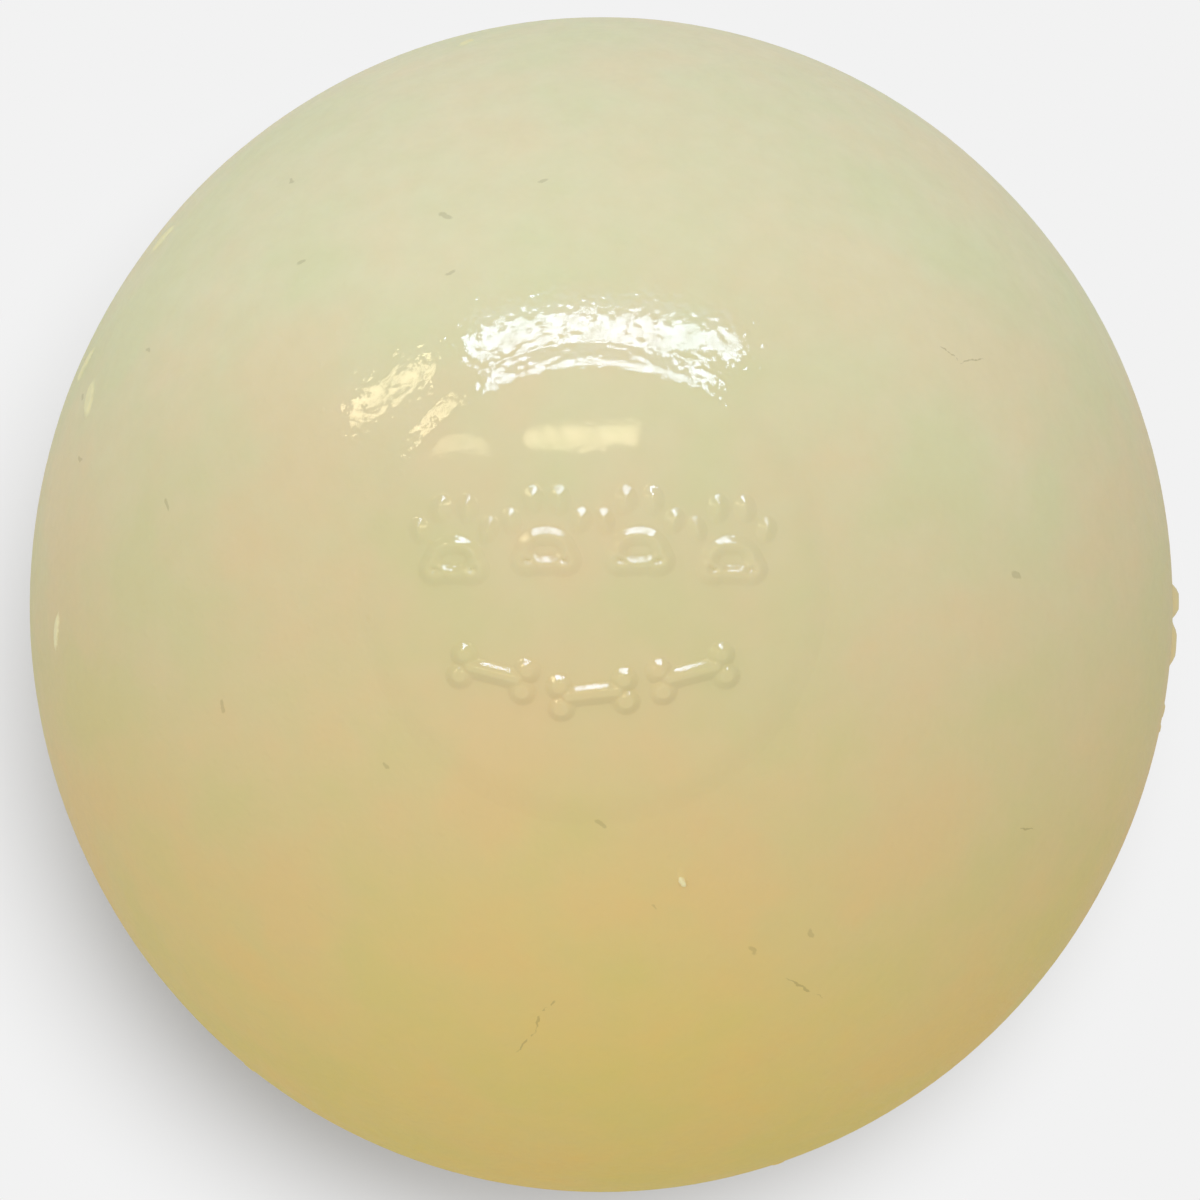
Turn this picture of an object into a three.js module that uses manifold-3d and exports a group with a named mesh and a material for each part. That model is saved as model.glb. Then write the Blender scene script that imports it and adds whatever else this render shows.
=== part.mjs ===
// Squeaky dog ball: a hollow rubber ball made of two moulded half shells, with a reed squeaker
// snapped into a port at the bottom. Millimetres, +Z up through the raised badge disc, and the
// origin at the middle of the flat land that the ball stands on.
import * as THREE from "three";
import { mergeVertices } from "three/addons/utils/BufferGeometryUtils.js";
import Module from "manifold-3d";

// Ball
const ballDiameter = 63.5;
const ballWall = 3.5;
const ovalShare = 0.0137; // the ball is this share longer along Y and shorter along X
const landDiameter = 16;

// Raised badge disc on the top of the ball
const badgeFaceDiameter = 20.1;
const badgeRise = 0.12;
const badgeRimRound = 7.5;
const badgeFootRound = 3;

// Locating tongue round the inside of the seam
const tongueHeight = 1.2;
const tongueThickness = 1.45;
const tongueClearance = 0.15;

// Port in the bottom of the ball, and the rubber lip that the squeaker clamps
const lipThickness = 3;
const portClearance = 0.3;
const portChamfer = 0.35;

// Squeaker cover, the round face outside the ball
const coverDiameter = 12.4;
const coverThickness = 1;
const coverRecess = 0.4;
const coverEdgeRound = 0.3;
const soundHoleDiameter = 2.5;
const soundHoleSink = 0.5;
const spigotLength = 1;

// Squeaker body, the barrel inside the ball with its snap flange
const barrelDiameter = 9.2;
const barrelWall = 0.7;
const barrelEndWall = 0.8;
const barrelEndHoleDiameter = 5.2;
const snapFlangeDiameter = 12.4;
const snapFlangeThickness = 0.7;
const snapLeadLength = 1.9;
const plasticClearance = 0.3;

// Reed cartridge: sleeve, half-round block with its trough, wedge and reed
const sleeveWall = 0.6;
const sleeveSpareLength = 2.6;
const blockLength = 9;
const troughWidth = 2;
const troughDepth = 1.5;
const troughEndWall = 1.5;
const wedgeLength = 2.5;
const reedWidth = 3.2;
const reedThickness = 0.2;
const reedRootLength = 2;
const reedFreeLength = 6;
const reedClearance = 0.2;

// Facets of a turn, and of a quarter circle
const ballSides = 56;
const squeakerSides = 32;
const quarterSteps = 14;
const roundSteps = 3;

const ballRadius = ballDiameter / 2;
const chamberRadius = ballRadius - ballWall;
const landRadius = landDiameter / 2;
const centreHeight = Math.sqrt(ballRadius ** 2 - landRadius ** 2);

const coverRadius = coverDiameter / 2;
const coverTop = coverRecess + coverThickness;
const lipTop = coverTop + lipThickness;
const barrelRadius = barrelDiameter / 2;
const barrelBore = barrelRadius - barrelWall;
const spigotRadius = barrelBore - plasticClearance;
const spigotTop = coverTop + spigotLength;
const sleeveRadius = spigotRadius;
const sleeveBore = sleeveRadius - sleeveWall;
const sleeveTop = spigotTop + blockLength + sleeveSpareLength;
const blockRadius = sleeveBore - plasticClearance;
const wedgeFlat = 2 * reedClearance + reedThickness;

const rubber = { color: 0xd6ca9b, roughness: 0.55, metalness: 0 };
const whitePlastic = { color: 0xe9e8e2, roughness: 0.45, metalness: 0 };
const creamPlastic = { color: 0xe3dcc6, roughness: 0.5, metalness: 0 };
const clearFilm = { color: 0xcfd8d8, roughness: 0.2, metalness: 0 };

const wasm = await Module();
wasm.setup();

function solid(geometry) {
  const bare = geometry.clone();
  bare.deleteAttribute("normal");
  bare.deleteAttribute("uv");
  const merged = mergeVertices(bare, 1e-3);
  return new wasm.Manifold(
    new wasm.Mesh({
      numProp: 3,
      vertProperties: merged.attributes.position.array,
      triVerts: new Uint32Array(merged.index.array),
    }),
  );
}

function geometryOf(manifold) {
  const mesh = manifold.getMesh();
  const geometry = new THREE.BufferGeometry();
  geometry.setAttribute("position", new THREE.BufferAttribute(mesh.vertProperties, 3));
  geometry.setIndex(new THREE.BufferAttribute(mesh.triVerts, 1));
  const flat = geometry.toNonIndexed();
  flat.computeVertexNormals();
  return flat;
}

function revolve(points, sides) {
  return new THREE.LatheGeometry(points, sides).rotateX(Math.PI / 2);
}

function point(radius, height) {
  return new THREE.Vector2(radius, height);
}

// Points of an arc in a revolve's half plane. Angles are in degrees up from level.
function arc(centreRadius, centreZ, radius, from, to, steps) {
  return Array.from({ length: steps + 1 }, (_, i) => {
    const angle = THREE.MathUtils.degToRad(from + ((to - from) * i) / steps);
    return point(
      Math.max(centreRadius + radius * Math.cos(angle), 0),
      centreZ + radius * Math.sin(angle),
    );
  });
}

// Latitude in degrees of a height, or of a distance from the axis, on a sphere round the ball's centre.
function latitudeOfHeight(height, radius) {
  return THREE.MathUtils.radToDeg(Math.asin((height - centreHeight) / radius));
}

function latitudeOfDistance(distance, radius) {
  return THREE.MathUtils.radToDeg(Math.acos(distance / radius));
}

// The point of a section at a distance from the ball's centre and a latitude in degrees.
function onSphere(radius, latitude) {
  const angle = THREE.MathUtils.degToRad(latitude);
  return point(radius * Math.cos(angle), centreHeight + radius * Math.sin(angle));
}

// Upper half: dome with the raised badge disc, whose soft edge is a rim round that runs into a foot
// round, and a rebate that takes the lower half's tongue.
function badgeShellGeometry() {
  const faceRadius = ballRadius + badgeRise;
  const rimReach = faceRadius - badgeRimRound;
  const footReach = ballRadius + badgeFootRound;
  const roundsApart = badgeRimRound + badgeFootRound;
  const faceLatitude = latitudeOfDistance(badgeFaceDiameter / 2, faceRadius);
  const footAngleCosine =
    (rimReach ** 2 + footReach ** 2 - roundsApart ** 2) / (2 * rimReach * footReach);
  const footLatitude = faceLatitude - THREE.MathUtils.radToDeg(Math.acos(footAngleCosine));
  const rimCentre = onSphere(rimReach, faceLatitude);
  const footCentre = onSphere(footReach, footLatitude);
  const rimToFoot = THREE.MathUtils.radToDeg(footCentre.clone().sub(rimCentre).angle());
  const rebateTop = centreHeight + tongueHeight + tongueClearance;
  const rebateRadius = chamberRadius + tongueThickness + tongueClearance;
  const innerLow = latitudeOfHeight(rebateTop, chamberRadius);
  return revolve(
    [
      ...arc(0, centreHeight, chamberRadius, 90, innerLow, quarterSteps),
      point(rebateRadius, rebateTop),
      point(rebateRadius, centreHeight),
      ...arc(0, centreHeight, ballRadius, 0, footLatitude, quarterSteps),
      ...arc(
        footCentre.x,
        footCentre.y,
        badgeFootRound,
        footLatitude + 180,
        rimToFoot + 180,
        roundSteps,
      ).slice(1),
      ...arc(rimCentre.x, rimCentre.y, badgeRimRound, rimToFoot, faceLatitude, roundSteps).slice(1),
      ...arc(0, centreHeight, faceRadius, faceLatitude, 90, roundSteps + 1).slice(1),
    ],
    ballSides,
  );
}

// Lower half: bowl with the tongue at the seam, and the squeaker port through its flat bottom.
function portShellGeometry() {
  const tongueRadius = chamberRadius + tongueThickness;
  const tongueTop = centreHeight + tongueHeight;
  const counterRadius = coverRadius + portClearance;
  const portRadius = barrelRadius + portClearance;
  const innerHigh = latitudeOfHeight(tongueTop, chamberRadius);
  const innerLow = latitudeOfHeight(lipTop, chamberRadius);
  const landLatitude = latitudeOfHeight(0, ballRadius);
  return revolve(
    [
      point(landRadius, 0),
      ...arc(0, centreHeight, ballRadius, landLatitude, 0, quarterSteps).slice(1),
      point(tongueRadius, centreHeight),
      point(tongueRadius, tongueTop),
      ...arc(0, centreHeight, chamberRadius, innerHigh, innerLow, quarterSteps),
      point(portRadius + portChamfer, lipTop),
      point(portRadius, lipTop - portChamfer),
      point(portRadius, coverTop),
      point(counterRadius, coverTop),
      point(counterRadius, portChamfer),
      point(counterRadius + portChamfer, 0),
      point(landRadius, 0),
    ],
    ballSides,
  );
}

// Cover: a round face sunk a little into the ball, its sound hole, and the spigot for the barrel.
function squeakerCoverGeometry() {
  const holeRadius = soundHoleDiameter / 2;
  return revolve(
    [
      point(holeRadius + soundHoleSink, coverRecess),
      ...arc(
        coverRadius - coverEdgeRound,
        coverRecess + coverEdgeRound,
        coverEdgeRound,
        -90,
        0,
        roundSteps,
      ),
      point(coverRadius, coverTop),
      point(spigotRadius, coverTop),
      point(spigotRadius, spigotTop),
      point(holeRadius, spigotTop),
      point(holeRadius, coverRecess + soundHoleSink),
      point(holeRadius + soundHoleSink, coverRecess),
    ],
    squeakerSides,
  );
}

// Body: the barrel, open at both ends, with the snap flange that sits behind the rubber lip.
function squeakerBodyGeometry() {
  const snapRadius = snapFlangeDiameter / 2;
  const barrelTop = sleeveTop + barrelEndWall;
  const endHoleRadius = barrelEndHoleDiameter / 2;
  return revolve(
    [
      point(barrelRadius, coverTop),
      point(barrelRadius, lipTop),
      point(snapRadius, lipTop),
      point(snapRadius, lipTop + snapFlangeThickness),
      point(barrelRadius, lipTop + snapFlangeThickness + snapLeadLength),
      ...arc(
        barrelRadius - barrelEndWall / 2,
        barrelTop - barrelEndWall / 2,
        barrelEndWall / 2,
        0,
        90,
        roundSteps,
      ),
      point(endHoleRadius, barrelTop),
      point(endHoleRadius, sleeveTop),
      point(barrelBore, sleeveTop),
      point(barrelBore, coverTop),
      point(barrelRadius, coverTop),
    ],
    squeakerSides,
  );
}

function reedSleeveGeometry() {
  const mouth = sleeveWall / 3;
  return revolve(
    [
      point(sleeveRadius, spigotTop),
      point(sleeveRadius, sleeveTop),
      point(sleeveBore + mouth, sleeveTop),
      point(sleeveBore, sleeveTop - mouth),
      point(sleeveBore, spigotTop),
      point(sleeveRadius, spigotTop),
    ],
    squeakerSides,
  );
}

// A straight piece of one section, which stands on the spigot's end.
function standing(section, length, curveSegments) {
  return new THREE.ExtrudeGeometry(section, {
    depth: length,
    bevelEnabled: false,
    curveSegments,
  }).translate(0, 0, spigotTop);
}

// Block: half round, with the trough that the reed beats over. The trough is open towards the
// sound hole and closed under the reed's tip.
function reedBlockGeometry() {
  const section = new THREE.Shape();
  section.moveTo(blockRadius, 0);
  section.absarc(0, 0, blockRadius, 0, -Math.PI, true);
  section.closePath();
  const throat = new THREE.Shape();
  const overcut = 0.5;
  const floorCentre = -(troughDepth - troughWidth / 2);
  throat.moveTo(-troughWidth / 2, overcut);
  throat.lineTo(-troughWidth / 2, floorCentre);
  throat.absarc(0, floorCentre, troughWidth / 2, Math.PI, 2 * Math.PI, false);
  throat.lineTo(troughWidth / 2, overcut);
  throat.closePath();
  const troughLength = blockLength - troughEndWall;
  const cut = standing(throat, troughLength + overcut, 8).translate(0, 0, -overcut);
  return geometryOf(solid(standing(section, blockLength, squeakerSides / 2)).subtract(solid(cut)));
}

// Wedge: the slice of the sleeve's bore that faces the block's foot and holds the reed's root.
function reedWedgeGeometry() {
  const edge = Math.asin(wedgeFlat / blockRadius);
  const section = new THREE.Shape();
  section.absarc(0, 0, blockRadius, edge, Math.PI - edge, false);
  section.closePath();
  return standing(section, wedgeLength, squeakerSides / 2);
}

// Reed: a thin strip of film with a round tip, held at its root and free above the wedge. Its own
// zero is at the wedge's edge, where it bends.
function reedGeometry() {
  const half = reedWidth / 2;
  const strip = new THREE.Shape();
  strip.moveTo(-half, -reedRootLength);
  strip.lineTo(half, -reedRootLength);
  strip.lineTo(half, reedFreeLength - half);
  strip.absarc(0, reedFreeLength - half, half, 0, Math.PI, false);
  strip.closePath();
  return new THREE.ExtrudeGeometry(strip, {
    depth: reedThickness,
    bevelEnabled: false,
    curveSegments: 12,
  })
    .translate(0, 0, -reedThickness / 2)
    .rotateX(Math.PI / 2);
}

function piece(name, geometry, finish) {
  const mesh = new THREE.Mesh(geometry, new THREE.MeshStandardMaterial(finish));
  mesh.name = name;
  return mesh;
}

const shells = new THREE.Group();
shells.scale.set(1 - ovalShare, 1 + ovalShare, 1);
shells.add(
  piece("badge_shell", badgeShellGeometry(), rubber),
  piece("port_shell", portShellGeometry(), rubber),
);

const reed = piece("reed", reedGeometry(), clearFilm);
reed.position.set(0, wedgeFlat / 2, spigotTop + wedgeLength);

const squeaker = new THREE.Group();
squeaker.add(
  piece("squeaker_cover", squeakerCoverGeometry(), whitePlastic),
  piece("squeaker_body", squeakerBodyGeometry(), whitePlastic),
  piece("reed_sleeve", reedSleeveGeometry(), creamPlastic),
  piece("reed_block", reedBlockGeometry(), creamPlastic),
  piece("reed_wedge", reedWedgeGeometry(), creamPlastic),
  reed,
);

const ball = new THREE.Group();
ball.add(shells, squeaker);
export default ball;
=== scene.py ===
import math

import bpy
import numpy as np
from mathutils import Matrix, Vector


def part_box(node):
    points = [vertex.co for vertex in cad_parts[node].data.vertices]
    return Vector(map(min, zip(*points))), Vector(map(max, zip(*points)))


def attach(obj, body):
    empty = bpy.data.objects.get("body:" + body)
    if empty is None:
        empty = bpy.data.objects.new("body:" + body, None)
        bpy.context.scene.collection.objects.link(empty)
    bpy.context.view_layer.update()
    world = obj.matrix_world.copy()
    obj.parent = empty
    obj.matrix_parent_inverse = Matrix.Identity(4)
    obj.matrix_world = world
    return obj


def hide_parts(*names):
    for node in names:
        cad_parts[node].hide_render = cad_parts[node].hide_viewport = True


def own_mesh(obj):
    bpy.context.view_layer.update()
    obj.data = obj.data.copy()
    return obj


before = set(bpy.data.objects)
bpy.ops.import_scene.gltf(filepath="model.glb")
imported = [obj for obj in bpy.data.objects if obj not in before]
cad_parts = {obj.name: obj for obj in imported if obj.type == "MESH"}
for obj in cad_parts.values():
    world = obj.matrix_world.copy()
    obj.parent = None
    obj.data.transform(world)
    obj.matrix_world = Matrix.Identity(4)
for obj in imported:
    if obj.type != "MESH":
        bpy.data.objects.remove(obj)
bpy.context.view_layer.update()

MM = 0.001

# A number that keeps a division from zero, and how deep below the outside a point still counts as on it
NEAR_ZERO = 1e-6
SKIN_DEPTH = 0.01 * MM

# Measures of the ball, read from the frame
SHELL_LOW, SHELL_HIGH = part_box("badge_shell")
SEAM_Z = SHELL_LOW.z
BALL_RADIUS = (SHELL_HIGH.x + SHELL_HIGH.y) / 2
OVAL = (SHELL_HIGH.y - SHELL_HIGH.x) / (SHELL_HIGH.y + SHELL_HIGH.x)
BADGE_RISE = SHELL_HIGH.z - SEAM_Z - BALL_RADIUS
TONGUE_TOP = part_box("port_shell")[1].z
COVER_LOW, COVER_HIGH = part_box("squeaker_cover")
COVER_RADIUS = COVER_HIGH.x
COVER_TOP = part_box("squeaker_body")[0].z

# Measures of the ball's section that the frame's boxes don't give
WALL = 3.5 * MM
TONGUE_THICKNESS = 1.45 * MM
TONGUE_GAP = 0.15 * MM
LIP_TOP = COVER_TOP + 3 * MM
PORT_RADIUS = 4.9 * MM
PORT_GAP = 0.3 * MM
PORT_CHAMFER = 0.35 * MM
SOUND_HOLE_RADIUS = 1.25 * MM
SOUND_HOLE_SINK = 0.5 * MM
SPIGOT_RADIUS = 3.6 * MM

# Badge disc: where its face starts to round off, and its soft edge, round, straight and round again
FACE_RADIUS = 10.05 * MM
RIM_ROUND = 7.5 * MM
EDGE_TILT = 25.9
FOOT_ROUND = 2 * MM
BADGE_REACH = 11 * MM

# Relief on the badge, in millimetres: a row of paw prints over a row of bones with their tilts. The
# sides that look towards +Y lean SIDE_FACING degrees from straight up, wherever they lie on the face
SIDE_FACING = 25.2
FOOT_STEEPER = 1.1
SIDE_EASE = 0.08
PAW_HEIGHT = 0.19
BONE_HEIGHT = 0.26
RELIEF_ROUND = 0.02
RELIEF_SPREAD = 0.16
PAW_ROW = [(-6.85, 2.0), (-2.3, 2.4), (2.3, 2.4), (6.85, 2.0)]
BONE_ROW = [(-4.9, -4.4, -14), (0, -5.4, 6), (4.9, -4.4, 14)]

# Outlines of a paw and a bone, in millimetres. An oval has a middle, a tilt and half sizes, and stands
# on both sides of the middle line. The paw's pad is a rib that follows the pad's edge
PAD = (0, -0.95, 0, 1.5, 1.15)
PAD_HEEL = (0.9, -1.4, 0, 0.85, 0.75)
PAD_RIB = 0.44
PAD_CREST = 0.04
INNER_TOE = (0.66, 1.5, 4, 0.58, 0.74)
OUTER_TOE = (1.72, 0.5, -16, 0.52, 0.68)
SHAFT_HALF_LENGTH = 1.2
SHAFT_HALF_WIDTH = 0.5
BONE_KNOB = (1.6, 0.52, 0, 0.68, 0.62)
SOFT_CROSSING = 0.1

# Unevenness of the outside: its height, the width of its waves, and how far off the seam and the land
# it starts
UNEVEN_HEIGHT = 0.05 * MM
UNEVEN_WIDTH = 9 * MM
UNEVEN_START = 3 * MM

# Moulding flash at the seam. A nub has an azimuth in degrees, a height and a length in millimetres, and
# its top and its foot end at shares of half that length
FLASH_WIDTH = 0.7 * MM
FLASH_HEIGHT = 0.1 * MM
FLASH_ROOT = 0.8 * MM
FLASH_SINK = 0.03 * MM
FLASH_NUBS = [
    (0.3, 0.56, 2.0), (-3.9, 0.48, 2.6), (-10.4, 0.26, 1.2), (-12.2, 0.24, 0.9),
    (97.2, 0.4, 0.9), (140.3, 0.3, 1.6), (155, 0.34, 1.2), (182.7, 0.3, 1.8),
    (232, 0.24, 1.4), (288, 0.2, 1.0), (41, 0.2, 1.3),
]
NUB_TOP, NUB_FOOT = 0.35, 1.35

# The photograph's frame, and the places in it of marks on the ball
PHOTO_SIZE = 1200
BALL_IN_PHOTO = (601.3, 604.4)
OUTLINE_PIXELS = 579.5
CAMERA_DISTANCE = 8.2 * BALL_RADIUS
CAMERA_LEAN = Vector((0.0136, -0.0363, 0.999)).normalized()
BALL_CENTRE = Vector((0, 0, SEAM_Z))

# Marks on the ball: the pixels where each starts and ends, and its width in millimetres
SPECKS = [
    ((441, 214), (449, 217), 0.37), ((540, 181), (547, 179), 0.25), ((290, 180), (293, 182), 0.25),
    ((298, 264), (304, 260), 0.25), ((446, 274), (455, 270), 0.23), ((147, 349), (149, 352), 0.25),
    ((166, 500), (168, 510), 0.25), ((222, 702), (223, 711), 0.25), ((79, 457), (81, 460), 0.29),
    ((597, 821), (604, 826), 0.29), ((652, 904), (655, 907), 0.2), ((750, 948), (756, 953), 0.29),
    ((810, 930), (812, 937), 0.25), ((1013, 574), (1019, 577), 0.29), ((385, 764), (388, 767), 0.2),
    ((82, 396), (83, 398), 0.29),
]
SCRATCHES = [
    ((556, 1000), (539, 1016), 0.13), ((540, 1015), (534, 1034), 0.16), ((535, 1032), (516, 1052), 0.13),
    ((941, 347), (961, 362), 0.1), ((960, 362), (984, 359), 0.1), ((786, 978), (822, 998), 0.12),
    ((1020, 828), (1034, 830), 0.1),
]
PALE_FLAKES = [
    ((170, 231), (156, 247), 0.9), ((92, 353), (80, 377), 0.75), ((91, 389), (88, 408), 1.1),
    ((58, 618), (56, 646), 0.65), ((681, 880), (684, 884), 0.35), ((470, 41), (463, 44), 0.6),
]

# Shares of a mark's size: where its colour fades out, where a flake's top ends and its foot starts, and
# how near the faces are that are split into four, round by round
MARK_GONE, MARK_FULL = 1.1, 0.75
FLAKE_HEIGHT = 0.1 * MM
FLAKE_TOP, FLAKE_FOOT = 0.7, 1.05
FLAKE_ROUNDS = (2.2, 1.7, 1.35)


def hex_colour(code):
    """An sRGB hex colour as the linear colour that a shader takes."""
    parts = [int(code[i:i + 2], 16) / 255 for i in (1, 3, 5)]
    return (*(c / 12.92 if c <= 0.04045 else ((c + 0.055) / 1.055) ** 2.4 for c in parts), 1)


# Camera

def camera_axes():
    back = CAMERA_LEAN
    right = Vector((0, 1, 0)).cross(back).normalized()
    return right, back.cross(right), back


def outline_tangent():
    return math.tan(math.asin(BALL_RADIUS / CAMERA_DISTANCE))


def camera_place():
    """The camera's place from the ball's centre, with the ball a little off the middle of the frame."""
    right, up, back = camera_axes()
    pixel = CAMERA_DISTANCE * outline_tangent() / OUTLINE_PIXELS
    across = (PHOTO_SIZE / 2 - BALL_IN_PHOTO[0]) * pixel
    along = (BALL_IN_PHOTO[1] - PHOTO_SIZE / 2) * pixel
    return CAMERA_DISTANCE * back + across * right + along * up


def make_camera():
    data = bpy.data.cameras.new("camera")
    data.lens = data.sensor_width / 2 * OUTLINE_PIXELS / (outline_tangent() * PHOTO_SIZE / 2)
    data.clip_start = 0.01
    camera = bpy.data.objects.new("camera", data)
    turn = Matrix(camera_axes()).transposed().to_4x4()
    camera.matrix_world = Matrix.Translation(BALL_CENTRE + camera_place()) @ turn
    bpy.context.scene.collection.objects.link(camera)
    bpy.context.scene.camera = camera


def on_ball(pixel):
    """The point of the ball that the photograph shows at a pixel."""
    right, up, back = camera_axes()
    slope = outline_tangent() / OUTLINE_PIXELS
    ray = (pixel[0] - PHOTO_SIZE / 2) * slope * right
    ray -= (pixel[1] - PHOTO_SIZE / 2) * slope * up
    to_round = Matrix.Diagonal((1 / (1 - OVAL), 1 / (1 + OVAL), 1))
    start, ray = to_round @ camera_place(), (to_round @ (ray - back)).normalized()
    towards = -start.dot(ray)
    depth = towards - math.sqrt(towards ** 2 - start.length_squared + BALL_RADIUS ** 2)
    return BALL_CENTRE + to_round.inverted() @ (start + depth * ray)


# Making of meshes

def start_piece(name):
    bpy.ops.object.select_all(action="DESELECT")
    bpy.ops.mesh.primitive_plane_add(size=MM)
    piece = bpy.context.object
    piece.name = name
    return piece


def turn_on_axis(name, start, steps, sides):
    """A closed round piece: its half section is drawn from start, then spun about Z.

    A step is a point that a straight line goes to, or an arc's centre, end and count."""
    piece = start_piece(name)
    bpy.ops.object.mode_set(mode="EDIT")
    bpy.context.tool_settings.mesh_select_mode = (True, False, False)
    bpy.ops.mesh.merge(type="CENTER")
    bpy.ops.transform.translate(value=(start[0], 0, start[1]))
    here = start
    for step in steps:
        if len(step) == 2:
            move = (step[0] - here[0], 0, step[1] - here[1])
            bpy.ops.mesh.extrude_vertices_move(TRANSFORM_OT_translate={"value": move})
            here = step
        else:
            centre, end, count = step
            turn = bearing(centre, end) - bearing(centre, here)
            turn = (turn + math.pi) % (2 * math.pi) - math.pi
            bpy.ops.mesh.spin(
                steps=count, angle=-turn, center=(centre[0], 0, centre[1]), axis=(0, 1, 0)
            )
            here = end
    bpy.ops.mesh.select_all(action="SELECT")
    bpy.ops.mesh.spin(steps=sides, angle=2 * math.pi, center=(0, 0, 0), axis=(0, 0, 1))
    bpy.ops.mesh.select_all(action="SELECT")
    bpy.ops.mesh.remove_doubles(threshold=0.001 * MM)
    bpy.ops.mesh.normals_make_consistent(inside=False)
    bpy.ops.object.mode_set(mode="OBJECT")
    return piece


def bearing(centre, point):
    return math.atan2(point[0] - centre[0], point[1] - centre[1])


def on_arc(radius, polar):
    """A point of the half section at a distance from the ball's centre and an angle from +Z."""
    return (radius * math.sin(polar), SEAM_Z + radius * math.cos(polar))


def make_oval(piece):
    piece.scale = (1 - OVAL, 1 + OVAL, 1)
    bpy.ops.object.transform_apply(location=False, rotation=False, scale=True)


def vertex_places(piece):
    flat = np.empty(len(piece.data.vertices) * 3)
    piece.data.vertices.foreach_get("co", flat)
    return flat.reshape(-1, 3)


def refine_faces(piece, wanted):
    """Splits each face whose centre is wanted into four."""
    mesh = piece.data
    centres = np.empty(len(mesh.polygons) * 3)
    mesh.polygons.foreach_get("center", centres)
    bpy.context.tool_settings.mesh_select_mode = (False, False, True)
    mesh.vertices.foreach_set("select", np.zeros(len(mesh.vertices), bool))
    mesh.edges.foreach_set("select", np.zeros(len(mesh.edges), bool))
    mesh.polygons.foreach_set("select", wanted(centres.reshape(-1, 3)))
    bpy.ops.object.mode_set(mode="EDIT")
    bpy.ops.mesh.subdivide(number_cuts=1)
    bpy.ops.object.mode_set(mode="OBJECT")


def raise_by_weight(piece, name, weights, height, texture=None):
    """Moves the surface out by height times each vertex's weight, or by the texture's share of it."""
    group = piece.vertex_groups.new(name=name)
    for index in np.nonzero(weights > 0)[0]:
        group.add([int(index)], float(weights[index]), "REPLACE")
    displace = piece.modifiers.new(name, "DISPLACE")
    displace.vertex_group = name
    displace.strength = height
    displace.mid_level = 0
    if texture:
        displace.texture = texture
        displace.texture_coords = "LOCAL"
        displace.mid_level = 0.5
    bpy.context.view_layer.objects.active = piece
    bpy.ops.object.modifier_apply(modifier=name)
    piece.vertex_groups.clear()


def smooth_shading(piece, angle=40):
    bpy.ops.object.select_all(action="DESELECT")
    piece.select_set(True)
    bpy.context.view_layer.objects.active = piece
    bpy.ops.object.shade_smooth_by_angle(angle=math.radians(angle))


def ramp(value, low, high):
    share = np.clip((value - low) / (high - low), 0, 1)
    return share * share * (3 - 2 * share)


# Relief of the badge. A depth is how far inside a shape's edge a place is, in millimetres

def turned(x, y, degrees):
    c, s = math.cos(math.radians(degrees)), math.sin(math.radians(degrees))
    return c * x + s * y, c * y - s * x


def oval(x, y, middle_x, middle_y, tilt, half_x, half_y):
    """Depth inside an ellipse, or inside its mirror image across the middle line."""
    x, y = turned(abs(x) - middle_x, y - middle_y, tilt)
    out = np.hypot(x / half_x, y / half_y) + NEAR_ZERO
    return out * (1 - out) / (np.hypot(x / half_x ** 2, y / half_y ** 2) + NEAR_ZERO)


def melt(a, b):
    """The higher of two depths, with a soft valley where they cross."""
    return (a + b + np.sqrt((a - b) ** 2 + SOFT_CROSSING ** 2)) / 2


def paw(x, y):
    pad = melt(oval(x, y, *PAD), oval(x, y, *PAD_HEEL))
    rib = PAD_RIB - np.hypot(pad - PAD_RIB, PAD_CREST) + PAD_CREST
    return np.max([rib, oval(x, y, *INNER_TOE), oval(x, y, *OUTER_TOE)], axis=0)


def bone(x, y):
    shaft = SHAFT_HALF_WIDTH - np.hypot(np.maximum(abs(x) - SHAFT_HALF_LENGTH, 0), y)
    return melt(shaft, oval(x, abs(y), *BONE_KNOB))


def raised(depth, slope, height):
    """A flat top with sides that are steeper at their foot, rounded at both ends."""
    lift = slope * depth
    lift *= FOOT_STEEPER - SIDE_EASE * np.clip(lift / height, 0, 1)
    foot = (lift + np.sqrt(lift ** 2 + RELIEF_ROUND ** 2)) / 2
    return (foot + height - np.sqrt((foot - height) ** 2 + RELIEF_ROUND ** 2)) / 2


def relief(points):
    """Which points lie on or next to a shape, and the height of the relief there, in millimetres."""
    x, y = points[:, 0] / MM, points[:, 1] / MM
    paws = np.max([paw(x - px, y - py) for px, py in PAW_ROW], axis=0)
    bones = np.max([bone(*turned(x - px, y - py, tilt)) for px, py, tilt in BONE_ROW], axis=0)
    slope = np.tan(math.radians(SIDE_FACING) - np.arcsin(np.clip(y * MM / BALL_RADIUS, -0.5, 0.5)))
    height = raised(paws, slope, PAW_HEIGHT) + raised(bones, slope, BONE_HEIGHT)
    depth = np.maximum(paws, bones)
    from_centre = np.linalg.norm(points - np.array(BALL_CENTRE), axis=1)
    on_face = (from_centre > BALL_RADIUS) & (np.hypot(x, y) < BADGE_REACH / MM)
    near = on_face & (points[:, 2] > SEAM_Z) & (depth > -RELIEF_SPREAD)
    return near, np.where(near, height, 0)


# Marks: each is an ellipsoid on the ball from the pixel where it starts to the one where it ends

def mark_shape(mark):
    """An ellipsoid's middle, turn and half sizes, its X along the mark."""
    start, end, width = on_ball(mark[0]), on_ball(mark[1]), mark[2] * MM
    half_length = (end - start).length / 2 + width / 2
    turn = (end - start).to_track_quat("X", "Z").to_euler()
    return (start + end) / 2, turn, Vector((half_length, width / 2, width / 2))


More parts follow.
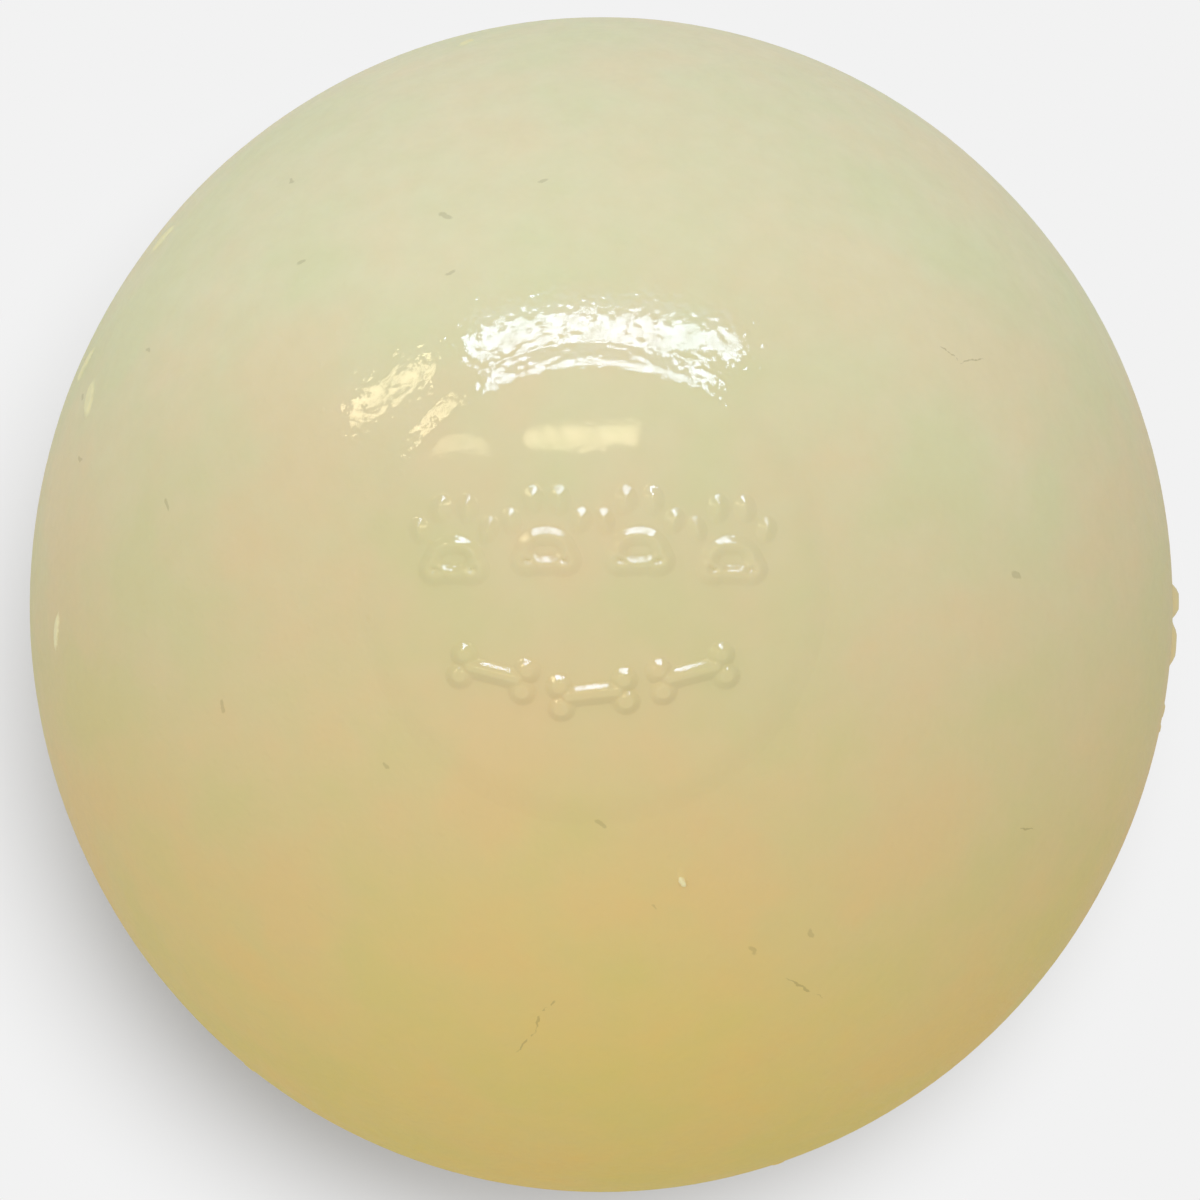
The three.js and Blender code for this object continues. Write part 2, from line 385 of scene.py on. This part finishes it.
def share_of_mark(points, mark):
    """How far out of the mark's middle each point is: 1 at its edge."""
    middle, turn, half = mark_shape(mark)
    local = (points - np.array(middle)) @ np.array(turn.to_matrix())
    return np.linalg.norm(local / np.array(half), axis=1)


# The two halves of the ball

def badge_section():
    chamber = BALL_RADIUS - WALL
    face = BALL_RADIUS + BADGE_RISE
    rebate_top = TONGUE_TOP + TONGUE_GAP
    rebate = chamber + TONGUE_THICKNESS + TONGUE_GAP
    face_polar, tilt = math.asin(FACE_RADIUS / face), math.radians(EDGE_TILT)
    rim_centre = on_arc(face - RIM_ROUND, face_polar)
    out, down = Vector((math.sin(tilt), math.cos(tilt))), Vector((math.cos(tilt), -math.sin(tilt)))
    edge_top = Vector(rim_centre) + RIM_ROUND * out
    start = edge_top + FOOT_ROUND * out - Vector((0, SEAM_Z))
    reach = BALL_RADIUS + FOOT_ROUND
    slant = -start.dot(down) - math.sqrt(start.dot(down) ** 2 - start.length_squared + reach ** 2)
    foot_centre = start + slant * down
    foot_polar = math.atan2(*foot_centre)
    centre = (0, SEAM_Z)
    inner_end = (math.sqrt(chamber ** 2 - (rebate_top - SEAM_Z) ** 2), rebate_top)
    return (0, SEAM_Z + chamber), [
        (centre, inner_end, 26),
        (rebate, rebate_top),
        (rebate, SEAM_Z),
        (BALL_RADIUS, SEAM_Z),
        (centre, on_arc(BALL_RADIUS, foot_polar), 56),
        (on_arc(reach, foot_polar), tuple(edge_top + slant * down), 8),
        tuple(edge_top + 0.5 * slant * down),
        tuple(edge_top),
        (rim_centre, on_arc(face, face_polar), 14),
        (centre, (0, SEAM_Z + face), 68),
    ]


def make_badge_skin():
    """Upper half of the ball, with the raised disc, its soft rim, its relief and the pale flakes."""
    skin = turn_on_axis("badge_skin", *badge_section(), sides=192)
    for _ in range(2):
        refine_faces(skin, lambda places: relief(places)[0])
    raise_by_weight(skin, "relief", relief(vertex_places(skin))[1], MM)
    add_unevenness(skin)
    make_oval(skin)
    add_flakes(skin)
    smooth_shading(skin)
    return skin


def add_flakes(skin):
    """Thin scabs of trimmed flash that stick to the ball near its seam."""
    def share(points):
        return np.min([share_of_mark(points, flake) for flake in PALE_FLAKES], axis=0)

    for reach in FLAKE_ROUNDS:
        refine_faces(skin, lambda places: share(places) < reach)
    weights = 1 - ramp(share(vertex_places(skin)), FLAKE_TOP, FLAKE_FOOT)
    raise_by_weight(skin, "flakes", weights, FLAKE_HEIGHT)


def make_port_skin():
    """Lower half of the ball, with the seam's tongue, the port and the land round it."""
    chamber = BALL_RADIUS - WALL
    tongue = chamber + TONGUE_THICKNESS
    land = math.sqrt(BALL_RADIUS ** 2 - SEAM_Z ** 2)
    counter = COVER_RADIUS + PORT_GAP
    centre = (0, SEAM_Z)
    tongue_end = (math.sqrt(chamber ** 2 - (TONGUE_TOP - SEAM_Z) ** 2), TONGUE_TOP)
    lip_end = (math.sqrt(chamber ** 2 - (LIP_TOP - SEAM_Z) ** 2), LIP_TOP)
    skin = turn_on_axis("port_skin", (land, 0), [
        (centre, (BALL_RADIUS, SEAM_Z), 56),
        (tongue, SEAM_Z),
        (tongue, TONGUE_TOP),
        tongue_end,
        (centre, lip_end, 26),
        (PORT_RADIUS + PORT_CHAMFER, LIP_TOP),
        (PORT_RADIUS, LIP_TOP - PORT_CHAMFER),
        (PORT_RADIUS, COVER_TOP),
        (counter, COVER_TOP),
        (counter, PORT_CHAMFER),
        ((counter + PORT_CHAMFER, PORT_CHAMFER), (counter + PORT_CHAMFER, 0), 5),
        (land, 0),
    ], sides=192)
    add_unevenness(skin)
    make_oval(skin)
    smooth_shading(skin)
    return skin


def add_unevenness(skin):
    """Makes the outside a little uneven, as a ball out of a worn mould is."""
    places = vertex_places(skin)
    outside = np.linalg.norm(places - np.array(BALL_CENTRE), axis=1) > BALL_RADIUS - SKIN_DEPTH
    from_seam = ramp(abs(places[:, 2] - SEAM_Z), 0, UNEVEN_START)
    off_land = ramp(places[:, 2], 0, UNEVEN_START)
    clouds = bpy.data.textures.new("unevenness", "CLOUDS")
    clouds.noise_scale = UNEVEN_WIDTH
    raise_by_weight(skin, "unevenness", outside * from_seam * off_land, UNEVEN_HEIGHT, clouds)


def make_seam_flash():
    """Thin ridge of flash along the seam, with the nubs that stand out of the outline."""
    half = FLASH_WIDTH / 2
    inner, outer = BALL_RADIUS - FLASH_ROOT, BALL_RADIUS - FLASH_SINK
    columns = np.linspace(-half, half, 13)[1:]
    ring = turn_on_axis("seam_flash", (inner, SEAM_Z - half), [
        (outer, SEAM_Z - half),
        *((outer, SEAM_Z + rise) for rise in columns),
        (inner, SEAM_Z + half),
        (inner, SEAM_Z - half),
    ], sides=720)
    places = vertex_places(ring)
    azimuth = np.degrees(np.arctan2(places[:, 1], places[:, 0]))
    across = np.clip(abs(places[:, 2] - SEAM_Z) / half, 0, 1)
    on_outside = np.hypot(places[:, 0], places[:, 1]) > outer - SKIN_DEPTH
    ridge = np.cos(across * math.pi / 2) ** 2 * on_outside
    rise = FLASH_HEIGHT * flash_wobble(azimuth)
    for place, height, length in FLASH_NUBS:
        half_angle = math.degrees(length * MM / 2 / BALL_RADIUS)
        turn = abs((azimuth - place + 180) % 360 - 180)
        nub = 1 - ramp(turn, NUB_TOP * half_angle, NUB_FOOT * half_angle)
        rise = np.maximum(rise, height * MM * nub)
    raise_by_weight(ring, "flash", ridge * rise / MM, MM)
    make_oval(ring)
    smooth_shading(ring, 60)
    return ring


def flash_wobble(azimuth):
    """Height of the trimmed flash round the seam, as a share between about 0.4 and 1."""
    waves = [(7, 0.4), (19, 1.9), (43, 4.2), (101, 0.8), (163, 2.6)]
    total = sum(np.sin(np.radians(count * azimuth) + start) for count, start in waves)
    return 0.7 + 0.3 * total / len(waves) * 1.6


def make_cover_face():
    """Squeaker's cover with its rounded edge, a moulded ring and the sunk sound hole."""
    round_off = 0.3 * MM
    low = COVER_LOW.z
    ring, ring_width, ring_depth = 4.1 * MM, 0.5 * MM, 0.2 * MM
    edge_centre = (COVER_RADIUS - round_off, low + round_off)
    hole = SOUND_HOLE_RADIUS
    cover = turn_on_axis("cover_face", (hole + SOUND_HOLE_SINK, low), [
        (ring - ring_width, low),
        (ring - ring_width / 2, low + ring_depth),
        (ring + ring_width / 2, low + ring_depth),
        (ring + ring_width, low),
        (COVER_RADIUS - round_off, low),
        (edge_centre, (COVER_RADIUS, low + round_off), 8),
        (COVER_RADIUS, COVER_TOP),
        (SPIGOT_RADIUS, COVER_TOP),
        (SPIGOT_RADIUS, COVER_HIGH.z),
        (hole, COVER_HIGH.z),
        (hole, low + SOUND_HOLE_SINK),
        ((hole + SOUND_HOLE_SINK, low + SOUND_HOLE_SINK), (hole + SOUND_HOLE_SINK, low), 6),
    ], sides=128)
    smooth_shading(cover)
    return cover


# Materials

def add_node(tree, kind, values=None, links=None, **settings):
    node = tree.nodes.new(kind)
    for name, value in settings.items():
        setattr(node, name, value)
    for socket, value in (values or {}).items():
        node.inputs[socket].default_value = value
    for socket, source in (links or {}).items():
        tree.links.new(source, node.inputs[socket])
    return node


def span(low, high, to_low, to_high):
    """The values of a Map Range node: the range that comes in, and the one that goes out."""
    return {1: low, 2: high, 3: to_low, 4: to_high}


def new_material(name, finish):
    """A material, its tree and its shader, which is set to the values of the finish."""
    material = bpy.data.materials.new(name)
    material.use_nodes = True
    shader = material.node_tree.nodes["Principled BSDF"]
    for socket, value in finish.items():
        shader.inputs[socket].default_value = value
    return material, material.node_tree, shader


def set_ramp(node, stops):
    elements = node.color_ramp.elements
    while len(elements) < len(stops):
        elements.new(0.5)
    for element, (place, colour) in zip(elements, stops):
        element.position = place
        element.color = hex_colour(colour)


def mark_mask(tree, place, marks):
    """1 inside the marks and 0 outside them, with a soft edge."""
    mask = None
    for mark in marks:
        middle, turn, half = mark_shape(mark)
        local = add_node(
            tree, "ShaderNodeMapping", {"Location": middle, "Rotation": turn, "Scale": half}, {0: place},
            vector_type="TEXTURE",
        )
        away = add_node(tree, "ShaderNodeVectorMath", {}, {0: local.outputs[0]}, operation="LENGTH")
        here = add_node(
            tree, "ShaderNodeMapRange", span(MARK_GONE, MARK_FULL, 0.0, 1.0), {0: away.outputs["Value"]}
        )
        both = {0: here.outputs[0], 1: mask or here.outputs[0]}
        mask = add_node(tree, "ShaderNodeMath", {}, both, operation="MAXIMUM").outputs[0]
    return mask


# Natural thermoplastic rubber, moulded. It takes a wet-looking sheen out of a polished mould, so lamps
# show sharply in it, but the sheen is uneven, and a fine grain with small beads breaks it up. Grain,
# beads and sheen are finer on the real ball, and are drawn as coarse as they need to be to show
RUBBER_FINISH = {
    "Roughness": 0.6, "IOR": 1.5, "Specular IOR Level": 0.0, "Coat IOR": 2.0, "Coat Roughness": 0.06,
    "Subsurface Weight": 0.15, "Subsurface Radius": (1.0, 0.7, 0.35), "Subsurface Scale": 1.5 * MM,
}

# Its colour: khaki cream with painted shading whose tones run along Y and sway, paler and cooler towards
# +Y, the side the light comes from, and warmer and darker towards -Y; then large patches, small clouds,
# and the marks, each with its strength and tone. Widths are those of one wave of the pattern
PAINTED_SHADE_FROM, PAINTED_SHADE_TO = -25 * MM, 39 * MM
PAINTED_SHADE_SWAY = 14 * MM
PAINTED_SHADE_SWAY_WIDTH = 22 * MM
PAINTED_SHADE_TONES = [
    (0.0, "#dcc06d"), (0.14, "#d8c07b"), (0.3, "#d3c08d"), (0.45, "#d1c49d"),
    (0.56, "#d2caa7"), (0.75, "#dad8b9"), (1.0, "#dfddc1"),
]
PATCH_WIDTH = 9 * MM
PATCH_TONES = [(0.38, "#bccf9c"), (0.5, "#d6ccaa"), (0.62, "#ecc2a4")]
PATCH_STRENGTH = 0.38
CLOUD_WIDTH = 1.6 * MM
CLOUD_TONE = "#c9bb86"
CLOUD_STRENGTH = 0.11
RAGGED_WIDTH = 0.5 * MM
RAGGED_REACH = 0.4 * MM
MARK_TONES = [(PALE_FLAKES, 0.8, "#e9e3b4"), (SPECKS, 0.22, "#6f6742"), (SCRATCHES, 0.33, "#7d6f44")]

# Its surface: the grain and its beads, whose height is a share of the grain's depth, and the uneven sheen
GRAIN_WIDTH = 0.45 * MM
GRAIN_DEPTH = 0.017 * MM
GRAIN_ON_BADGE = 0.25
BEAD_SPACING = 0.7 * MM
BEAD_HEIGHT = 0.4
SHEEN_WIDTH = 0.55 * MM
SHEEN_LOW, SHEEN_HIGH = 0.055, 0.115


def ball_rubber():
    material, tree, shader = new_material("moulded_natural_rubber", RUBBER_FINISH)
    place = add_node(tree, "ShaderNodeTexCoord").outputs["Object"]
    tree.links.new(rubber_marks(tree, place, rubber_tone(tree, place)), shader.inputs["Base Color"])
    grain = rubber_grain(tree, place)
    tree.links.new(grain, shader.inputs["Normal"])
    tree.links.new(grain, shader.inputs["Coat Normal"])
    spots = add_node(
        tree, "ShaderNodeTexNoise", {"Scale": 1 / SHEEN_WIDTH, "Detail": 2.0}, {"Vector": place}
    )
    sheen = add_node(
        tree, "ShaderNodeMapRange", span(0.35, 0.65, SHEEN_LOW, SHEEN_HIGH), {0: spots.outputs["Fac"]}
    )
    tree.links.new(sheen.outputs[0], shader.inputs["Coat Weight"])
    return material


def rubber_tone(tree, place):
    """Khaki cream with painted shading, paler towards +Y and warmer and darker towards -Y, faint pink
    and green patches, and clouds of the melt.
    """
    wander = add_node(
        tree, "ShaderNodeTexNoise", {"Scale": 1 / PAINTED_SHADE_SWAY_WIDTH, "Detail": 2.0}, {"Vector": place}
    )
    axis = add_node(tree, "ShaderNodeSeparateXYZ", {}, {0: place})
    sway = add_node(
        tree, "ShaderNodeMath", {1: PAINTED_SHADE_SWAY}, {0: wander.outputs["Fac"]}, operation="MULTIPLY"
    )
    along = add_node(
        tree, "ShaderNodeMath", {}, {0: axis.outputs["Y"], 1: sway.outputs[0]}, operation="ADD"
    )
    # Painted shading: the tones run from the warmer, darker -Y side to the paler +Y side
    share = add_node(tree, "ShaderNodeMapRange", span(PAINTED_SHADE_FROM, PAINTED_SHADE_TO, 0.0, 1.0), {0: along.outputs[0]})
    painted_shade = add_node(tree, "ShaderNodeValToRGB", {}, {0: share.outputs[0]})
    set_ramp(painted_shade, PAINTED_SHADE_TONES)
    patches = add_node(
        tree, "ShaderNodeTexNoise", {"Scale": 1 / PATCH_WIDTH, "Detail": 3.0, "Roughness": 0.55},
        {"Vector": place},
    )
    tint = add_node(tree, "ShaderNodeValToRGB", {}, {0: patches.outputs["Fac"]})
    set_ramp(tint, PATCH_TONES)
    patched = add_node(
        tree, "ShaderNodeMix", {0: PATCH_STRENGTH}, {6: painted_shade.outputs[0], 7: tint.outputs[0]},
        data_type="RGBA", blend_type="SOFT_LIGHT",
    )
    clouds = add_node(
        tree, "ShaderNodeTexNoise", {"Scale": 1 / CLOUD_WIDTH, "Detail": 4.0}, {"Vector": place}
    )
    cloud = add_node(
        tree, "ShaderNodeMapRange", span(0.3, 0.7, 0.0, CLOUD_STRENGTH), {0: clouds.outputs["Fac"]}
    )
    return add_node(
        tree, "ShaderNodeMix", {7: hex_colour(CLOUD_TONE)}, {0: cloud.outputs[0], 6: patched.outputs[2]},
        data_type="RGBA",
    ).outputs[2]


def rubber_marks(tree, place, tone):
    """Lays the pale flakes, the specks of dirt and the scratches on the tone, with ragged edges."""
    ragged = add_node(
        tree, "ShaderNodeTexNoise", {"Scale": 1 / RAGGED_WIDTH, "Detail": 2.0}, {"Vector": place}
    )
    shift = add_node(
        tree, "ShaderNodeVectorMath", {1: (0.5, 0.5, 0.5)}, {0: ragged.outputs["Color"]},
        operation="SUBTRACT",
    )
    near = add_node(
        tree, "ShaderNodeVectorMath", {1: (RAGGED_REACH,) * 3}, {0: shift.outputs[0], 2: place},
        operation="MULTIPLY_ADD",
    ).outputs[0]
    for marks, strength, colour in MARK_TONES:
        share = add_node(
            tree, "ShaderNodeMath", {1: strength}, {0: mark_mask(tree, near, marks)}, operation="MULTIPLY"
        )
        tone = add_node(
            tree, "ShaderNodeMix", {7: hex_colour(colour)}, {0: share.outputs[0], 6: tone},
            data_type="RGBA",
        ).outputs[2]
    return tone


def rubber_grain(tree, place):
    """The grain with its beads, as a bump that is weaker on the badge and on the land at the bottom."""
    grain = add_node(
        tree, "ShaderNodeTexNoise", {"Scale": 1 / GRAIN_WIDTH, "Detail": 0.5}, {"Vector": place}
    )
    cells = add_node(tree, "ShaderNodeTexVoronoi", {"Scale": 1 / BEAD_SPACING}, {"Vector": place})
    bead = add_node(
        tree, "ShaderNodeMapRange", span(0.05, 0.34, BEAD_HEIGHT, 0.0), {0: cells.outputs["Distance"]},
        interpolation_type="SMOOTHSTEP",
    )
    height = add_node(
        tree, "ShaderNodeMath", {}, {0: grain.outputs["Fac"], 1: bead.outputs[0]}, operation="ADD"
    )
    level = add_node(tree, "ShaderNodeVectorMath", {1: (1, 1, 0)}, {0: place}, operation="MULTIPLY")
    from_axis = add_node(tree, "ShaderNodeVectorMath", {}, {0: level.outputs[0]}, operation="LENGTH")
    share = add_node(
        tree, "ShaderNodeMapRange", span(FACE_RADIUS, BADGE_REACH, GRAIN_ON_BADGE, 1.0),
        {0: from_axis.outputs["Value"]},
    )
    return add_node(
        tree, "ShaderNodeBump", {"Distance": GRAIN_DEPTH},
        {"Strength": share.outputs[0], "Height": height.outputs[0]},
    ).outputs[0]


def moulded_plastic(name, colour, roughness):
    """Injection-moulded polypropylene: waxy and a little translucent, with a faint orange peel."""
    flow_width, flow_tone, flow_strength = 2.5 * MM, "#cfc8b4", 0.12
    peel_width, peel_depth = 0.4 * MM, 0.02 * MM
    material, tree, shader = new_material(name, {
        "Roughness": roughness, "Subsurface Weight": 0.1, "Subsurface Scale": 0.5 * MM,
    })
    place = add_node(tree, "ShaderNodeTexCoord").outputs["Object"]
    flow = add_node(tree, "ShaderNodeTexNoise", {"Scale": 1 / flow_width, "Detail": 2.0}, {"Vector": place})
    share = add_node(
        tree, "ShaderNodeMapRange", span(0.3, 0.7, 0.0, flow_strength), {0: flow.outputs["Fac"]}
    )
    tone = add_node(
        tree, "ShaderNodeMix", {6: hex_colour(colour), 7: hex_colour(flow_tone)}, {0: share.outputs[0]},
        data_type="RGBA",
    )
    tree.links.new(tone.outputs[2], shader.inputs["Base Color"])
    peel = add_node(tree, "ShaderNodeTexNoise", {"Scale": 1 / peel_width, "Detail": 1.0}, {"Vector": place})
    bump = add_node(
        tree, "ShaderNodeBump", {"Strength": 0.15, "Distance": peel_depth}, {"Height": peel.outputs["Fac"]}
    )
    tree.links.new(bump.outputs[0], shader.inputs["Normal"])
    return material


def clear_film():
    """Drawn polyester film: clear, smooth and glossy, with the faint streaks of its drawing."""
    streak_width, stretched = 0.2 * MM, (1, 1, 0.06)
    material, tree, shader = new_material("drawn_polyester_film", {
        "Base Color": hex_colour("#dde5e5"), "Transmission Weight": 0.6, "IOR": 1.57,
    })
    place = add_node(tree, "ShaderNodeTexCoord").outputs["Object"]
    stretch = add_node(tree, "ShaderNodeMapping", {"Scale": stretched}, {0: place})
    streaks = add_node(
        tree, "ShaderNodeTexNoise", {"Scale": 1 / streak_width, "Detail": 1.0}, {0: stretch.outputs[0]}
    )
    haze = add_node(tree, "ShaderNodeMapRange", span(0.3, 0.7, 0.06, 0.16), {0: streaks.outputs["Fac"]})
    tree.links.new(haze.outputs[0], shader.inputs["Roughness"])
    return material


def coat(piece, material):
    piece.data.materials.clear()
    piece.data.materials.append(material)


# Studio: floor, world and lamps. Azimuths are in degrees from +X, and radiance is in units of white

BACKDROP = "#f2f2f2"
FLOOR_COLOUR = "#b4b4b4"
FLOOR_SIZE = 8
SKY_BRIGHTEST = (-0.13, 0.15, 0.98)
SKY_LOW, SKY_HIGH = 0.44, 1.15

# The ball's soft shadow: which way its lamp throws it, and the round patch of floor that shows it,
# with its middle's place and how far from there it shows in full, and not at all
LAMP_SHADOW_AZIMUTH = 249
SHADOW_AZIMUTH = 226
SHADOW_REACH = 0.2 * BALL_RADIUS
SHADOW_FULL, SHADOW_GONE = 0.77 * BALL_RADIUS, 1.28 * BALL_RADIUS

# Lamps that only shine in the gloss: zenith, azimuth, size in metres, radiance, colour and twist
WINDOW_LIGHT = "#ffecbd"
GLOSS_LAMPS = {
    "strip": (49.1, 89, (0.53, 0.059), 50.0, "#c8dcff", 0),
    "strip_fringe": (54.2, 89, (0.48, 0.034), 4.5, "#7fb4ff", 0),
    "window_far": (56.4, 136.7, (0.17, 0.045), 28.0, WINDOW_LIGHT, -19),
    "window_left": (37.8, 134.2, (0.12, 0.034), 12.0, WINDOW_LIGHT, -46),
    "window_near": (28.7, 95.9, (0.213, 0.046), 20.0, WINDOW_LIGHT, -3),
}
GLOSS_DISTANCE = 0.6


def shown_as_backdrop(tree):
    """1 for rays that should meet the plain pale backdrop: the camera's, mirrored and refracted ones."""
    path = add_node(tree, "ShaderNodeLightPath")
    either = add_node(
        tree, "ShaderNodeMath", {}, {0: path.outputs["Is Camera Ray"], 1: path.outputs["Is Glossy Ray"]},
        operation="MAXIMUM",
    )
    return add_node(
        tree, "ShaderNodeMath", {}, {0: either.outputs[0], 1: path.outputs["Is Transmission Ray"]},
        operation="MAXIMUM",
    ).outputs[0]


def make_world():
    world = bpy.data.worlds.new("studio")
    bpy.context.scene.world = world
    world.use_nodes = True
    tree = world.node_tree
    tree.nodes.clear()
    direction = add_node(tree, "ShaderNodeTexCoord").outputs["Generated"]
    height = add_node(
        tree, "ShaderNodeVectorMath", {1: SKY_BRIGHTEST}, {0: direction}, operation="DOT_PRODUCT"
    )
    strength = add_node(
        tree, "ShaderNodeMapRange", span(-0.25, 1.0, SKY_LOW, SKY_HIGH), {0: height.outputs["Value"]}
    )
    light = add_node(
        tree, "ShaderNodeBackground", {0: hex_colour("#ffffff")}, {1: strength.outputs[0]}
    )
    backdrop = add_node(tree, "ShaderNodeBackground", {0: hex_colour(BACKDROP), 1: 1.0})
    shown = {0: shown_as_backdrop(tree), 1: light.outputs[0], 2: backdrop.outputs[0]}
    either = add_node(tree, "ShaderNodeMixShader", {}, shown)
    add_node(tree, "ShaderNodeOutputWorld", {}, {0: either.outputs[0]})


def make_floor():
    """Pale floor. It shows as the backdrop, and as a lit surface where the ball's shadow falls."""
    bpy.ops.object.select_all(action="DESELECT")
    bpy.ops.mesh.primitive_plane_add(size=FLOOR_SIZE)
    floor = bpy.context.object
    floor.name = "floor"
    material, tree, shader = new_material("studio_floor", {
        "Base Color": hex_colour(FLOOR_COLOUR), "Roughness": 1, "Specular IOR Level": 0,
    })
    glow = add_node(tree, "ShaderNodeEmission", {0: hex_colour(BACKDROP), 1: 1.0})
    place = add_node(tree, "ShaderNodeTexCoord").outputs["Object"]
    azimuth = math.radians(SHADOW_AZIMUTH)
    middle = (SHADOW_REACH * math.cos(azimuth), SHADOW_REACH * math.sin(azimuth), 0)
    away = add_node(tree, "ShaderNodeVectorMath", {1: middle}, {0: place}, operation="DISTANCE")
    plain = add_node(
        tree, "ShaderNodeMapRange", span(SHADOW_FULL, SHADOW_GONE, 0.0, 1.0),
        {0: away.outputs["Value"]}, interpolation_type="SMOOTHSTEP",
    )
    share = add_node(
        tree, "ShaderNodeMath", {}, {0: plain.outputs[0], 1: shown_as_backdrop(tree)}, operation="MULTIPLY"
    )
    look = add_node(
        tree, "ShaderNodeMixShader", {}, {0: share.outputs[0], 1: shader.outputs[0], 2: glow.outputs[0]}
    )
    tree.links.new(look.outputs[0], tree.nodes["Material Output"].inputs[0])
    coat(floor, material)
    return floor


def add_lamp(name, zenith, azimuth, distance, size, radiance, colour="#ffffff", twist=0):
    """Soft box aimed at the ball's centre. Zenith, azimuth and twist are in degrees."""
    data = bpy.data.lights.new(name, "AREA")
    data.shape = "RECTANGLE"
    data.size, data.size_y = size
    data.color = hex_colour(colour)[:3]
    data.energy = radiance * math.pi * size[0] * size[1]
    z, a = math.radians(zenith), math.radians(azimuth)
    back = Vector((math.sin(z) * math.cos(a), math.sin(z) * math.sin(a), math.cos(z)))
    right = Vector((-math.sin(a), math.cos(a), 0))
    turn = Matrix((right, back.cross(right), back)).transposed().to_4x4()
    aimed = Matrix.Translation(BALL_CENTRE + distance * back) @ turn
    lamp = bpy.data.objects.new(name, data)
    lamp.matrix_world = aimed @ Matrix.Rotation(math.radians(twist), 4, "Z")
    bpy.context.scene.collection.objects.link(lamp)
    return lamp


def make_lamps(floor):
    """A soft key, a strip and three windows that the gloss shows, and a lamp for the floor's shadow."""
    key = add_lamp("key", 14, 72, 0.7, (0.2, 0.2), 2.9)
    key.visible_glossy = False
    for name, (zenith, azimuth, size, radiance, colour, twist) in GLOSS_LAMPS.items():
        lamp = add_lamp(name, zenith, azimuth, GLOSS_DISTANCE, size, radiance, colour, twist)
        lamp.visible_diffuse = False
    shadow_lamp = add_lamp("floor_lamp", 11.5, LAMP_SHADOW_AZIMUTH - 180, 0.7, (0.17, 0.17), 26.0)
    lit = bpy.data.collections.new("floor_only")
    lit.objects.link(floor)
    shadow_lamp.light_linking.receiver_collection = lit
    shadow_lamp.visible_glossy = False


# Assembly

make_camera()
make_world()
make_lamps(make_floor())

rubber = ball_rubber()
white_plastic = moulded_plastic("moulded_white_polypropylene", "#e9e7e0", 0.38)
cream_plastic = moulded_plastic("moulded_cream_polypropylene", "#e3dbc5", 0.42)

badge_skin = make_badge_skin()
coat(badge_skin, rubber)
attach(badge_skin, "badge_half")
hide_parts("badge_shell")
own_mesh(badge_skin)

port_skin = make_port_skin()
coat(port_skin, rubber)
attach(port_skin, "port_half")
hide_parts("port_shell")
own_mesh(port_skin)

seam_flash = make_seam_flash()
coat(seam_flash, rubber)
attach(seam_flash, "port_half")
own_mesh(seam_flash)

cover_face = make_cover_face()
coat(cover_face, white_plastic)
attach(cover_face, "port_half")
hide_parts("squeaker_cover")

coat(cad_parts["squeaker_body"], white_plastic)
for node in ("reed_sleeve", "reed_block", "reed_wedge"):
    coat(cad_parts[node], cream_plastic)
coat(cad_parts["reed"], clear_film())

bpy.context.scene.view_settings.view_transform = "Standard"
